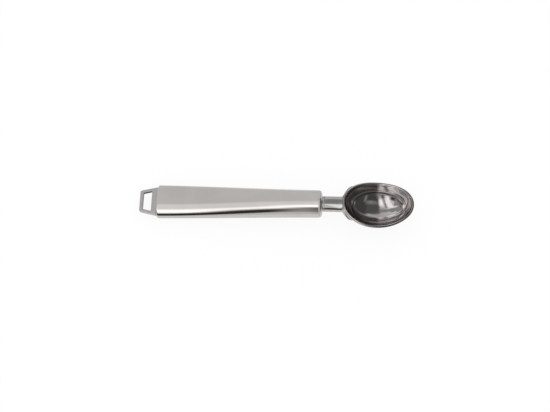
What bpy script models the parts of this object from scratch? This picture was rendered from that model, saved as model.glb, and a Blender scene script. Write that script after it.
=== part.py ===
"""Ice cream scoop with a hollow steel handle, a forged shank, a pressed bowl and a hanging loop.

Sizes are metres. +X runs from the hanging loop to the tip of the bowl, +Y is across the tool
and +Z is up. The scoop lies as on a table: its bowl and the butt of its handle touch z = 0,
the rim of the bowl is level, and the handle slopes down from the bowl to its butt.
"""
import math

import bmesh
import bpy
from mathutils import Vector

# Gap kept between pieces that touch or are welded to each other
FIT_GAP = 0.0003

# Handle tube: wide and flattened at the butt, round at the front
TUBE_LENGTH = 0.1413
TUBE_WALL = 0.0010
BUTT_WIDTH = 0.0290
BUTT_THICKNESS = 0.0155
BUTT_FLAT = 0.0080
BUTT_EDGE = 0.0030
BUTT_CORNER = 0.0025
CROWN_ANGLE = math.radians(3.5)
FRONT_DIAMETER = 0.0235
FRONT_LAND = 0.0014
FRONT_CORNER_SHARE = 0.9
MORPH_START = 0.03
MORPH_END = 0.93
TAPER_EASE = 0.6

# Edges of the tube, rolled inwards at both ends
BUTT_LIP = 0.0018
FRONT_LIP = 0.0030
CORNER_SHARE = 0.8

# Stamped cups that close the two mouths of the tube
CAP_SHEET = 0.0010
CAP_SKIRT = 0.0060
CAP_SET_BACK = 0.0003

# Hanging loop: a flat plate with a window, and a tail through the end cap
LOOP_THICKNESS = 0.0030
LOOP_REACH = 0.0153
LOOP_ROOT_WIDTH = 0.0257
LOOP_END_WIDTH = 0.0188
LOOP_CORNER = 0.0018
LOOP_END_BAR = 0.0030
LOOP_ROOT_BAR = 0.0048
LOOP_SIDE_BAR = 0.0028
LOOP_WINDOW_CORNER = 0.0008
LOOP_EDGE = 0.0004
TAIL_WIDTH = 0.0150
TAIL_LENGTH = 0.0120

# Shank: round tang in the handle, oval neck, and a yoke round the bowl
TANG_DIAMETER = 0.0080
TANG_LENGTH = 0.0550
TANG_CHAMFER = 0.0006
NECK_WIDTH = 0.0124
NECK_THICKNESS = 0.0100
NECK_FOOT = 0.0005
NECK_REACH = 0.0168
NECK_SQUARENESS = 2.5
CIRCLE = 2.0
BEND_START = 0.0020
BEND_END = 0.0155
YOKE_REACH = 0.0086
YOKE_LEAD = 0.0043
YOKE_ROOT_PROUD = 0.0009
YOKE_TIP_PROUD = 0.0017
YOKE_BLEND = 0.0030
YOKE_TIP_HEIGHT = 0.0026
YOKE_TIP_LIFT = 0.0002
YOKE_TIP_ROUND = 0.0012

# Bush that centres the end of the tang
BUSH_LENGTH = 0.0060
BUSH_FROM_TANG_END = 0.0020

# Bowl: egg-shaped rim, wall of even thickness, rounded lip
BOWL_LENGTH = 0.0611
BOWL_WIDTH = 0.0414
BOWL_DEPTH = 0.0225
BOWL_WALL = 0.0020
BOWL_EGG = 0.05
BOWL_SQUARENESS = 2.08
BOWL_RIM_DIP = 0.0042
BOWL_DIP_POWER = 4
BOWL_RIM_LEAN = math.radians(10)
NECK_BELOW_RIM = 0.0014

# Facets and shading
CROWN_STEPS = 2
SECTION_STEPS = 10
LIP_STEPS = 4
TUBE_STEPS = 20
OVAL_POINTS = 36
FOOT_STEPS = 3
NECK_STEPS = 4
YOKE_STEPS = 14
TIP_STEPS = 2
BOWL_POINTS = 64
BOWL_STEPS = 14
POLE_SHARE = 0.8
CORNER_ARC_STEPS = 5
EDGE_STEPS = 2
EDGE_ANGLE = math.radians(60)
SMOOTH_ANGLE = math.radians(35)

# Rounds after which the slope of the handle has settled
SLOPE_ROUNDS = 30

# Material: colour, metallic, roughness
FINISHES = {
    "bowl_steel": ((0.62, 0.61, 0.60), 1.0, 0.08),
    "shank_steel": ((0.62, 0.61, 0.60), 1.0, 0.16),
    "front_cap_steel": ((0.60, 0.59, 0.58), 1.0, 0.25),
    "tube_steel": ((0.60, 0.59, 0.57), 1.0, 0.30),
    "bush_steel": ((0.50, 0.50, 0.50), 1.0, 0.45),
    "end_cap_steel": ((0.60, 0.59, 0.58), 1.0, 0.25),
    "loop_steel": ((0.58, 0.57, 0.56), 1.0, 0.32),
}


def mix(start, end, share):
    """Value that lies the given share of the way from start to end."""
    return start + (end - start) * share


def ease(value, start, end):
    """Smooth step from 0 at start to 1 at end."""
    share = min(max((value - start) / (end - start), 0.0), 1.0)
    return share * share * (3 - 2 * share)


def neck_axis_height():
    """Height of the level part of the shank's axis above the table."""
    return BOWL_DEPTH - NECK_BELOW_RIM - NECK_THICKNESS / 2


def handle_slope():
    """Slope of the handle at which the bowl and the butt both touch the table."""
    slope = 0.0
    for _ in range(SLOPE_ROUNDS):
        bend_rise = (BEND_END - BEND_START) * slope / 2
        rise = neck_axis_height() - BUTT_THICKNESS / 2 * math.cos(slope) - bend_rise
        slope = math.asin(rise / (TUBE_LENGTH - butt_lip() + BEND_START))
    return slope


def tube_corner(turn):
    """Radius of the corner arc, a share of the way from the flattened to the round section."""
    return mix(BUTT_CORNER, FRONT_CORNER_SHARE * FRONT_DIAMETER / 2, turn)


def tube_arcs(share):
    """Four arcs of a quarter of the tube's section, as end angle, centre and radius.

    A crowned top, a shoulder, a corner and a crowned side meet with a common tangent. The
    angle between shoulder and corner follows from the width, the height and the corner's radius.
    """
    turn = ease(share, MORPH_START, MORPH_END)
    taper = mix(share, ease(share, 0.0, 1.0), TAPER_EASE)
    half_width = mix(BUTT_WIDTH, FRONT_DIAMETER, taper) / 2
    half_height = mix(BUTT_THICKNESS, FRONT_DIAMETER, turn) / 2
    sine = math.sin(CROWN_ANGLE)
    cosine = math.cos(CROWN_ANGLE)
    sag = math.tan(CROWN_ANGLE / 2)
    flat = mix(BUTT_FLAT, FRONT_LAND, turn) / 2
    edge = mix(BUTT_EDGE, FRONT_LAND, turn) / 2
    corner = tube_corner(turn)
    least = corner * (cosine - sine)
    across = half_width - edge * sag - flat - least
    down = half_height - flat * sag - edge - least
    shoulder_end = 2 * math.atan2(down, across) - CROWN_ANGLE
    shoulder = corner + across / (math.sin(shoulder_end) - sine)
    return [
        (CROWN_ANGLE, 0.0, half_height - flat / sine, flat / sine),
        (shoulder_end, flat - shoulder * sine, half_height - flat * sag - shoulder * cosine, shoulder),
        (math.pi / 2 - CROWN_ANGLE, half_width - edge * sag - corner * cosine, edge - corner * sine, corner),
        (math.pi / 2, half_width - edge / sine, 0.0, edge / sine),
    ]


def butt_lip():
    """Radius of the rolled edge at the butt, held inside the corner of the section."""
    return min(BUTT_LIP, CORNER_SHARE * BUTT_CORNER)


def tube_ring(along, inset):
    """Ring of the tube's section, a distance along the handle and a depth inside its skin."""
    share = along / TUBE_LENGTH
    arcs = tube_arcs(share)
    parallel = min(inset, CORNER_SHARE * tube_corner(ease(share, MORPH_START, MORPH_END)))
    half_width = arcs[3][1] + arcs[3][3]
    half_height = arcs[0][2] + arcs[0][3]
    squeeze_y = (half_width - inset) / (half_width - parallel)
    squeeze_z = (half_height - inset) / (half_height - parallel)
    upper_end = math.pi / 2 - CROWN_ANGLE
    angles = [CROWN_ANGLE * step / CROWN_STEPS for step in range(CROWN_STEPS)]
    angles += [mix(CROWN_ANGLE, upper_end, step / SECTION_STEPS) for step in range(SECTION_STEPS)]
    angles += [upper_end, math.pi / 2]
    quarter = []
    for angle in angles:
        _, y, z, radius = next((arc for arc in arcs if angle <= arc[0]), arcs[3])
        reach = radius - parallel
        y = (y + reach * math.sin(angle)) * squeeze_y
        z = (z + reach * math.cos(angle)) * squeeze_z
        quarter.append((y, z))
    right = quarter + [(y, -z) for y, z in reversed(quarter[:-1])]
    left = [(-y, z) for y, z in reversed(right[1:-1])]
    return [Vector((along, y, z)) for y, z in right + left]


def oval_ring(centre, tilt, half_width, half_height, squareness):
    """Superellipse ring round a centre, square to an axis that rises by the tilt."""
    ring = []
    for step in range(OVAL_POINTS):
        angle = 2 * math.pi * step / OVAL_POINTS
        across = half_width * math.copysign(abs(math.cos(angle)) ** (2 / squareness), math.cos(angle))
        upward = half_height * math.copysign(abs(math.sin(angle)) ** (2 / squareness), math.sin(angle))
        ring.append(centre + Vector((-upward * math.sin(tilt), across, upward * math.cos(tilt))))
    return ring


def ring_at_same_angles(ring, radius):
    """Circle whose points lie at the same angles about the axis as those of another ring."""
    circle = []
    for point in ring:
        angle = math.atan2(point.z, point.y)
        circle.append(Vector((point.x, radius * math.cos(angle), radius * math.sin(angle))))
    return circle


def bowl_half_width(share, half_width):
    """Half-width of the egg-shaped outline at a share of its half-length, -1 at the neck."""
    oval = max(1 - abs(share) ** BOWL_SQUARENESS, 0.0) ** (1 / BOWL_SQUARENESS)
    return half_width * oval * (1 - BOWL_EGG * share)


def bowl_turn(grow, depth):
    """Turn of the bowl's form, grown by a distance, at a depth below the ends of the rim."""
    lean = math.sin(BOWL_RIM_LEAN)
    angle = math.asin(lean + depth / (BOWL_DEPTH + grow) * (1 - lean))
    return (angle - BOWL_RIM_LEAN) / (math.pi / 2 - BOWL_RIM_LEAN)


def bowl_ring(grow, turn):
    """Ring of the bowl's outer form, grown by a distance; turn runs from 0 at the rim to 1."""
    lean = BOWL_RIM_LEAN
    angle = mix(lean, math.pi / 2, turn)
    size = math.cos(angle) / math.cos(lean)
    share_down = (math.sin(angle) - math.sin(lean)) / (1 - math.sin(lean))
    half_length = BOWL_LENGTH / 2 + grow
    half_width = BOWL_WIDTH / 2 + grow
    ring = []
    for step in range(BOWL_POINTS):
        around = 2 * math.pi * step / BOWL_POINTS
        share = math.copysign(abs(math.cos(around)) ** (2 / BOWL_SQUARENESS), math.cos(around))
        across = math.copysign(bowl_half_width(share, half_width), math.sin(around))
        depth = mix(BOWL_RIM_DIP * abs(math.sin(around)) ** BOWL_DIP_POWER, BOWL_DEPTH + grow, share_down)
        ring.append(Vector((half_length * share * size, across * size, -depth)))
    return ring


def loft(name, rings, closed):
    """Mesh through a row of rings; closed joins the last ring to the first, else both are capped."""
    shape = bmesh.new()
    rows = [[shape.verts.new(point) for point in ring] for ring in rings]
    if closed:
        pairs = list(zip(rows, rows[1:] + rows[:1]))
    else:
        pairs = list(zip(rows, rows[1:]))
        shape.faces.new(rows[0])
        shape.faces.new(rows[-1])
    for first, second in pairs:
        for index in range(len(first)):
            following = (index + 1) % len(first)
            shape.faces.new((first[index], first[following], second[following], second[index]))
    bmesh.ops.recalc_face_normals(shape, faces=shape.faces)
    return mesh_from(name, shape)


def plate(name, outline, thickness):
    """Flat plate of an outline in the XY plane, centred on z = 0."""
    shape = bmesh.new()
    corners = [shape.verts.new((x, y, -thickness / 2)) for x, y in outline]
    face = shape.faces.new(corners)
    raised = bmesh.ops.extrude_face_region(shape, geom=[face])["geom"]
    verts = [item for item in raised if isinstance(item, bmesh.types.BMVert)]
    bmesh.ops.translate(shape, verts=verts, vec=(0, 0, thickness))
    bmesh.ops.recalc_face_normals(shape, faces=shape.faces)
    return mesh_from(name, shape)


def mesh_from(name, shape):
    """Mesh data from a bmesh, smooth where its faces meet at a low angle."""
    mesh = bpy.data.meshes.new(name)
    shape.to_mesh(mesh)
    shape.free()
    mesh.shade_smooth()
    mesh.set_sharp_from_angle(angle=SMOOTH_ANGLE)
    return mesh


def rounded(corners):
    """Outline of straight sides whose corners, given as x, y and radius, are arcs."""
    outline = []
    for index, (x, y, radius) in enumerate(corners):
        corner = Vector((x, y))
        before = (Vector(corners[index - 1][:2]) - corner).normalized()
        after = (Vector(corners[(index + 1) % len(corners)][:2]) - corner).normalized()
        if radius == 0:
            outline.append(tuple(corner))
            continue
        half = before.angle(after) / 2
        centre = corner + (before + after).normalized() * radius / math.sin(half)
        start = corner + before * radius / math.tan(half) - centre
        sweep = start.angle_signed(corner + after * radius / math.tan(half) - centre)
        for step in range(CORNER_ARC_STEPS + 1):
            turn = -sweep * step / CORNER_ARC_STEPS
            cosine, sine = math.cos(turn), math.sin(turn)
            arm = Vector((start.x * cosine - start.y * sine, start.x * sine + start.y * cosine))
            outline.append(tuple(centre + arm))
    return outline


def add(name, mesh, finish, parent=None, location=(0, 0, 0)):
    """Object for one piece of the scoop, with its own material."""
    thing = bpy.data.objects.new(name, mesh)
    bpy.context.scene.collection.objects.link(thing)
    thing.parent = parent
    thing.location = location
    if finish is not None:
        mesh.materials.append(steel(finish))
    return thing


def steel(name):
    """Principled material for one of the named finishes."""
    colour, metallic, roughness = FINISHES[name]
    material = bpy.data.materials.new(name)
    material.use_nodes = True
    shader = material.node_tree.nodes["Principled BSDF"]
    shader.inputs["Base Color"].default_value = (*colour, 1.0)
    shader.inputs["Metallic"].default_value = metallic
    shader.inputs["Roughness"].default_value = roughness
    return material


def cut(thing, cutter):
    """Take a hidden cutter out of an object."""
    cutter.hide_render = True
    cutter.display_type = "WIRE"
    modifier = thing.modifiers.new(cutter.name, "BOOLEAN")
    modifier.operation = "DIFFERENCE"
    modifier.solver = "EXACT"
    modifier.object = cutter


def rolled_edge(end, direction, lip):
    """Stations of a rolled edge, outside then inside, as pairs of place and inset."""
    outside = []
    inside = []
    for step in range(LIP_STEPS + 1):
        angle = math.pi / 2 * step / LIP_STEPS
        outer = (end + direction * lip * (1 - math.sin(angle)), lip * (1 - math.cos(angle)))
        inner_radius = lip - TUBE_WALL
        inner = (
            end + direction * (lip - inner_radius * math.sin(angle)),
            lip - inner_radius * math.cos(angle),
        )
        outside.append(outer)
        inside.append(inner)
    return outside, inside


def make_handle_tube(frame):
    """Drawn tube with a flattened butt, a round front and both edges rolled in."""
    butt_outside, butt_inside = rolled_edge(0.0, 1, butt_lip())
    front_outside, front_inside = rolled_edge(TUBE_LENGTH, -1, FRONT_LIP)
    start = butt_lip()
    end = TUBE_LENGTH - FRONT_LIP
    body = [mix(start, end, step / TUBE_STEPS) for step in range(1, TUBE_STEPS)]
    stations = list(reversed(butt_outside))
    stations += [(along, 0.0) for along in body]
    stations += front_outside
    stations += list(reversed(front_inside))
    stations += [(along, TUBE_WALL) for along in reversed(body[1::2])]
    stations += butt_inside
    rings = [tube_ring(along, inset) for along, inset in stations]
    return add("handle_tube", loft("handle_tube", rings, closed=True), "tube_steel", frame)


def cap_stations(end, direction, lip):
    """Stations of a cup that closes a mouth: its face in the mouth, its skirt against the wall."""
    face = CAP_SET_BACK
    behind_edge = lip + FIT_GAP
    skirt_end = lip + CAP_SKIRT
    in_mouth = lip + FIT_GAP
    in_tube = TUBE_WALL + FIT_GAP
    stations = [
        (face, in_mouth),
        (face + CAP_SHEET, in_mouth),
        (behind_edge, in_tube),
        (skirt_end, in_tube),
        (skirt_end, in_tube + CAP_SHEET),
        (behind_edge + CAP_SHEET / 2, in_tube + CAP_SHEET),
        (face + CAP_SHEET, in_mouth + CAP_SHEET),
    ]
    return [(end + direction * place, inset) for place, inset in stations]


def make_front_cap(frame):
    """Stamped cup in the round mouth, with a round hole for the tang."""
    rings = [tube_ring(along, inset) for along, inset in cap_stations(TUBE_LENGTH, -1, FRONT_LIP)]
    hole = TANG_DIAMETER / 2 + FIT_GAP
    rings.append(ring_at_same_angles(rings[-1], hole))
    rings.append(ring_at_same_angles(rings[0], hole))
    return add("front_cap", loft("front_cap", rings, closed=True), "front_cap_steel", frame)


def make_end_cap(frame):
    """Stamped cup in the flattened mouth, with a slot for the tail of the loop."""
    rings = [tube_ring(along, inset) for along, inset in cap_stations(0.0, 1, butt_lip())]
    cap = add("end_cap", loft("end_cap", rings, closed=False), "end_cap_steel", frame)
    half_width = TAIL_WIDTH / 2 + FIT_GAP
    reach = butt_lip() + CAP_SKIRT
    outline = [(-reach, -half_width), (reach, -half_width), (reach, half_width), (-reach, half_width)]
    slot = plate("end_cap_slot", outline, LOOP_THICKNESS + 2 * FIT_GAP)
    cut(cap, add("end_cap_slot", slot, None, frame))
    return cap


def make_hanging_loop(frame):
    """Flat loop with tapering sides, a window, soft edges and a tail."""
    root = -FIT_GAP
    end = -LOOP_REACH
    root_half = LOOP_ROOT_WIDTH / 2
    end_half = LOOP_END_WIDTH / 2
    tail = TAIL_WIDTH / 2
    outline = rounded([
        (end, -end_half, LOOP_CORNER),
        (root, -root_half, 0),
        (root, -tail, 0),
        (TAIL_LENGTH, -tail, 0),
        (TAIL_LENGTH, tail, 0),
        (root, tail, 0),
        (root, root_half, 0),
        (end, end_half, LOOP_CORNER),
    ])
    loop = add("hanging_loop", plate("hanging_loop", outline, LOOP_THICKNESS), "loop_steel", frame)
    window_end = end + LOOP_END_BAR
    window_root = root - LOOP_ROOT_BAR
    taper = (root_half - end_half) / (root - end)
    far_half = end_half + taper * LOOP_END_BAR - LOOP_SIDE_BAR
    near_half = root_half - taper * LOOP_ROOT_BAR - LOOP_SIDE_BAR
    window = rounded([
        (window_end, -far_half, LOOP_WINDOW_CORNER),
        (window_root, -near_half, LOOP_WINDOW_CORNER),
        (window_root, near_half, LOOP_WINDOW_CORNER),
        (window_end, far_half, LOOP_WINDOW_CORNER),
    ])
    cutter = add("loop_window", plate("loop_window", window, 2 * LOOP_THICKNESS), None, frame)
    cut(loop, cutter)
    edge = loop.modifiers.new("soft_edges", "BEVEL")
    edge.width = LOOP_EDGE
    edge.segments = EDGE_STEPS
    edge.limit_method = "ANGLE"
    edge.angle_limit = EDGE_ANGLE
    return loop


def make_tang_bush(frame):
    """Bush that fills the tube's section round the end of the tang."""
    end = TUBE_LENGTH - TANG_LENGTH + BUSH_FROM_TANG_END
    stations = [end, end + BUSH_LENGTH]
    outer = [tube_ring(along, TUBE_WALL + FIT_GAP) for along in stations]
    hole = TANG_DIAMETER / 2 + FIT_GAP
    inner = [ring_at_same_angles(ring, hole) for ring in reversed(outer)]
    return add("tang_bush", loft("tang_bush", outer + inner, closed=True), "bush_steel", frame)


def shank_place(along, slope):
    """Centre and tilt of the shank's axis, a distance from the front of the tube."""
    if along <= BEND_START:
        return Vector((along * math.cos(slope), 0, along * math.sin(slope))), slope
    radius = (BEND_END - BEND_START) / slope
    tilt = max(slope - (along - BEND_START) / radius, 0.0)
    centre = Vector((BEND_START * math.cos(slope), 0, BEND_START * math.sin(slope)))
    centre.x += radius * (math.sin(slope) - math.sin(tilt))
    centre.z += radius * (math.cos(tilt) - math.cos(slope))
    centre.x += max(along - BEND_END, 0.0)
    return centre, tilt


def yoke_half_width(past_rim):
    """Half-width of the neck and yoke: the neck's own, blended into the rim's outline."""
    half_length = BOWL_LENGTH / 2
    share = min(max(past_rim / half_length, 0.0), 1.0) - 1
    proud = mix(YOKE_ROOT_PROUD, YOKE_TIP_PROUD, ease(past_rim, 0.0, YOKE_REACH))
    around_bowl = bowl_half_width(share, BOWL_WIDTH / 2) + proud
    neck = NECK_WIDTH / 2
    return (neck + around_bowl + math.hypot(neck - around_bowl, YOKE_BLEND)) / 2


def shank_rings(slope):
    """Rings of the shank from the end of the tang to the tips of the yoke."""
    tang = TANG_DIAMETER / 2
    shoulder = FIT_GAP - CAP_SET_BACK
    neck_half = NECK_WIDTH / 2
    neck_rise = NECK_THICKNESS / 2
    tip_rise = YOKE_TIP_HEIGHT / 2
    stations = [
        (-TANG_LENGTH, tang - TANG_CHAMFER, tang - TANG_CHAMFER, 0.0, CIRCLE),
        (TANG_CHAMFER - TANG_LENGTH, tang, tang, 0.0, CIRCLE),
        (shoulder, tang, tang, 0.0, CIRCLE),
    ]
    for step in range(FOOT_STEPS + 1):
        turn = math.pi / 2 * step / FOOT_STEPS
        swell = NECK_FOOT * (1 - math.sin(turn))
        place = shoulder + NECK_FOOT * (1 - math.cos(turn))
        stations.append((place, neck_half + swell, neck_rise + swell, 0.0, NECK_SQUARENESS))
    yoke_start = NECK_REACH - YOKE_LEAD
    tip = NECK_REACH + YOKE_REACH
    places = [mix(stations[-1][0], yoke_start, step / NECK_STEPS) for step in range(1, NECK_STEPS)]
    places += [mix(yoke_start, tip - YOKE_TIP_ROUND, step / YOKE_STEPS) for step in range(YOKE_STEPS + 1)]
    for place in places:
        fall = ease(place, NECK_REACH - YOKE_LEAD / 2, tip)
        rise = mix(neck_rise, tip_rise, fall)
        lift = neck_rise - rise + YOKE_TIP_LIFT * fall
        across = yoke_half_width(place - NECK_REACH)
        stations.append((place, across, rise, lift, NECK_SQUARENESS))
    _, across, rise, lift, _ = stations[-1]
    for step in range(1, TIP_STEPS + 1):
        turn = math.pi / 2 * step / (TIP_STEPS + 1)
        place = tip - YOKE_TIP_ROUND * (1 - math.sin(turn))
        inset = YOKE_TIP_ROUND * (1 - math.cos(turn))
        grown = yoke_half_width(place - NECK_REACH)
        stations.append((place, grown - inset, rise - inset, lift, NECK_SQUARENESS))
    rings = []
    for place, across, upward, lift, squareness in stations:
        centre, tilt = shank_place(place, slope)
        centre.z += lift
        rings.append(oval_ring(centre, tilt, across, upward, squareness))
    return rings


def make_shank(front, slope, rim_centre):
    """Forged shank: tang, neck and yoke, hollowed where the bowl sits in it."""
    shank = add("shank", loft("shank", shank_rings(slope), closed=False), "shank_steel", None, front)
    rings = bowl_wall(FIT_GAP, 0.0)
    raised = [point + Vector((0, 0, BOWL_WALL)) for point in rings[0]]
    rings = [raised] + rings
    seat = add("yoke_seat", loft("yoke_seat", rings, closed=False), None, None, rim_centre)
    cut(shank, seat)
    return shank


def make_bowl(rim_centre):
    """Pressed bowl: outer form, inner form one wall inside it, and a rounded lip."""
    lip = BOWL_WALL / 2
    outer = bowl_wall(0.0, lip)
    inner = bowl_wall(-BOWL_WALL, lip)
    lip_rings = []
    for step in range(1, 2 * LIP_STEPS):
        angle = math.pi * step / (2 * LIP_STEPS)
        share = (1 - math.cos(angle)) / 2
        rise = Vector((0, 0, lip * math.sin(angle)))
        lip_rings.append([a.lerp(b, share) + rise for a, b in zip(outer[0], inner[0])])
    rings = list(reversed(outer)) + lip_rings + inner
    return add("bowl", loft("bowl", rings, closed=False), "bowl_steel", None, rim_centre)


def bowl_wall(grow, depth):
    """Rings of one side of the bowl's wall, from a depth below the rim down to its pole."""
    first = bowl_turn(grow, depth)
    turns = [mix(first, 1.0, step / BOWL_STEPS) for step in range(BOWL_STEPS)]
    turns.append(mix(turns[-1], 1.0, POLE_SHARE))
    return [bowl_ring(grow, turn) for turn in turns]


def build():
    """Clear the scene, then make every piece in its place."""
    for thing in list(bpy.data.objects):
        bpy.data.objects.remove(thing, do_unlink=True)
    slope = handle_slope()
    level = neck_axis_height()
    neck_end, _ = shank_place(NECK_REACH, slope)
    handle = Vector((math.cos(slope), 0, math.sin(slope)))
    length = (LOOP_REACH + TUBE_LENGTH) * handle.x + neck_end.x + BOWL_LENGTH
    butt_x = LOOP_REACH * handle.x - length / 2
    front_x = butt_x + TUBE_LENGTH * handle.x
    front = Vector((front_x, 0, level - neck_end.z))
    butt = front - TUBE_LENGTH * handle
    rim_centre = Vector((front_x + neck_end.x + BOWL_LENGTH / 2, 0, BOWL_DEPTH))

    frame = bpy.data.objects.new("handle_axis", None)
    bpy.context.scene.collection.objects.link(frame)
    frame.location = butt
    frame.rotation_euler = (0, -slope, 0)

    make_bowl(rim_centre)
    make_shank(front, slope, rim_centre)
    make_front_cap(frame)
    make_handle_tube(frame)
    make_tang_bush(frame)
    make_end_cap(frame)
    make_hanging_loop(frame)
    bpy.context.view_layer.update()


build()
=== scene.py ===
"""Looks of a steel ice cream scoop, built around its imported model.

The scoop lies on a pale table with its loop towards -X and the tip of its bowl towards +X.
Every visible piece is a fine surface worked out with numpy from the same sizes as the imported
solids, and every finish is a procedural steel. Polished steel shows what stands round it, so a
tent of cards that only reflections see gives it its light and dark bands. All sizes are metres.
"""
from __future__ import annotations

import logging
import math
from dataclasses import dataclass
from enum import Enum

import bpy
import numpy as np
from mathutils import Matrix, Vector
from numpy.typing import NDArray


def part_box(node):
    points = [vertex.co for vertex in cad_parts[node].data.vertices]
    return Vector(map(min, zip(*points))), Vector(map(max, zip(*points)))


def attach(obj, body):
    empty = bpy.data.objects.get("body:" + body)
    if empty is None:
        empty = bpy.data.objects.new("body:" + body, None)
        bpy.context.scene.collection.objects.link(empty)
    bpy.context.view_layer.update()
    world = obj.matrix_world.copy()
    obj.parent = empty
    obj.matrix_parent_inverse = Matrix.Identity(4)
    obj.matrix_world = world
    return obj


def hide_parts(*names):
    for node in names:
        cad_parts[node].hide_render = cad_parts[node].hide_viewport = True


Array = NDArray[np.float64]
Number = float | Array
Point = tuple[float, float, float]
Colour = tuple[float, float, float]

log = logging.getLogger("scoop")

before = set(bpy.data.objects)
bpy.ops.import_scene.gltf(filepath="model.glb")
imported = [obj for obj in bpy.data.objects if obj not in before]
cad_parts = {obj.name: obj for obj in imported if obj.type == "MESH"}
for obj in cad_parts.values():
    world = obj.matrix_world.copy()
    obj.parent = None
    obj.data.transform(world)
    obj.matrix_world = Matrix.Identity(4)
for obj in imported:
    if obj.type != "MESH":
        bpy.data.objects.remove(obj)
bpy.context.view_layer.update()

FIT_GAP = 0.0003
SMOOTH_ANGLE = math.radians(32)
MILLIMETRES = 1000.0
MIDDLE = 0.5

# A Mix node has sockets of the same name for numbers and colours; these are the colours'.
MIX_FIRST, MIX_SECOND, MIX_RESULT = 6, 7, 2


def mix(start: Number, end: Number, share: Number) -> Number:
    """Value that lies the given share of the way from start to end."""
    return start + (end - start) * share


def ease(value: Number, start: float, end: float) -> Number:
    """Smooth step: 3t^2 - 2t^3 of the clipped share t of the way from start to end.

    Args:
        value: Where to read the step.
        start: Value at which it leaves 0.
        end: Value at which it reaches 1.

    Returns:
        The step, from 0 to 1.
    """
    share = np.clip((np.asarray(value, float) - start) / (end - start), 0.0, 1.0)
    return share * share * (3.0 - 2.0 * share)


def power(base: Array, exponent: Number) -> Array:
    """Sign of the base times its size raised to the exponent."""
    return np.sign(base) * np.abs(base) ** exponent


def steps(count: int) -> Array:
    """Evenly spaced numbers from 0 to 1, with both ends."""
    return np.linspace(0.0, 1.0, count + 1)


def circle(count: int) -> Array:
    """Evenly spaced angles of a full turn from 0, without its end."""
    return 2 * math.pi * steps(count)[:-1]


def cross(first: Array, second: Array) -> Array:
    """Cross product of rows of x and y: x1 y2 - y1 x2."""
    return first[:, 0] * second[:, 1] - first[:, 1] * second[:, 0]


class Ends(Enum):
    """How the first and last rings of a surface are closed."""

    JOINED = "the last ring joins the first"
    CAPPED = "each end closes on a point in its middle"


class Skin:
    """Closed surface through rings of points, made into a mesh object."""

    def __init__(self, name: str, rings: Array, ends: Ends) -> None:
        """Keep the rings.

        Args:
            name: Name of the finished object.
            rings: Points as an array of rings by points by 3.
            ends: How the first and last rings are closed.
        """
        self.name = name
        self.rings = np.asarray(rings, float)
        self.ends = ends

    def points(self) -> Array:
        """Every vertex of the surface.

        Returns:
            The points of the rings in order, then the middles of the two ends if capped.
        """
        flat = self.rings.reshape(-1, 3)
        if self.ends is Ends.JOINED:
            return flat
        middles = np.stack([self.rings[0].mean(axis=0), self.rings[-1].mean(axis=0)])
        return np.concatenate([flat, middles])

    def faces(self) -> tuple[NDArray[np.int64], NDArray[np.int64]]:
        """Quads between neighbouring rings, and the triangles that close the ends.

        Returns:
            The quads as rows of 4 numbers and the triangles as rows of 3.
        """
        rows, columns = self.rings.shape[:2]
        index = np.arange(rows * columns).reshape(rows, columns)
        if self.ends is Ends.JOINED:
            near, far = index, np.roll(index, -1, axis=0)
        else:
            near, far = index[:-1], index[1:]
        corners = [near, np.roll(near, -1, axis=1), np.roll(far, -1, axis=1), far]
        quads = np.stack(corners, axis=-1).reshape(-1, 4)
        if self.ends is Ends.JOINED:
            return quads, np.empty((0, 3), int)
        first, last = index[0], index[-1]
        start = np.full(columns, rows * columns)
        lid = np.stack([np.roll(first, -1), first, start], axis=-1)
        base = np.stack([last, np.roll(last, -1), start + 1], axis=-1)
        return quads, np.concatenate([lid, base])

    def volume(self, points: Array, quads: NDArray[np.int64], triangles: NDArray[np.int64]) -> float:
        """Signed volume: the sum of det(a, b, c) / 6 over all triangles.

        Args:
            points: Vertices of the surface.
            quads: Faces of four corners.
            triangles: Faces of three corners.

        Returns:
            The volume, positive where the faces point outwards.
        """
        fans = np.concatenate([quads[:, [0, 1, 2]], quads[:, [0, 2, 3]], triangles])
        a, b, c = (points[fans[:, corner]] for corner in range(3))
        return float(np.einsum("ij,ij->i", a, np.cross(b, c)).sum() / 6.0)

    def build(self) -> bpy.types.Object:
        """Make the surface, smooth, with its faces pointing outwards.

        Returns:
            The object that shows it.
        """
        points = self.points()
        quads, triangles = self.faces()
        if self.volume(points, quads, triangles) < 0:
            quads, triangles = quads[:, ::-1], triangles[:, ::-1]
        mesh = bpy.data.meshes.new(self.name)
        mesh.from_pydata(points.tolist(), [], quads.tolist() + triangles.tolist())
        return link(self.name, mesh)


def link(name: str, mesh: bpy.types.Mesh) -> bpy.types.Object:
    """Object at the origin that shows a mesh with smooth faces and sharp corners.

    Args:
        name: Name of the object.
        mesh: The mesh that it shows.

    Returns:
        The object, linked to the scene.
    """
    mesh.name = name
    mesh.shade_smooth()
    mesh.set_sharp_from_angle(angle=SMOOTH_ANGLE)
    thing = bpy.data.objects.new(name, mesh)
    bpy.context.scene.collection.objects.link(thing)
    return thing


def baked(thing: bpy.types.Object) -> bpy.types.Object:
    """The same object with its modifiers made part of its mesh.

    Args:
        thing: Object whose modifiers are read as the viewport shows them.

    Returns:
        The object, with no modifiers left.
    """
    bpy.context.view_layer.update()
    graph = bpy.context.evaluated_depsgraph_get()
    mesh = bpy.data.meshes.new_from_object(thing.evaluated_get(graph))
    name = thing.name
    bpy.data.objects.remove(thing, do_unlink=True)
    return link(name, mesh)


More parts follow.
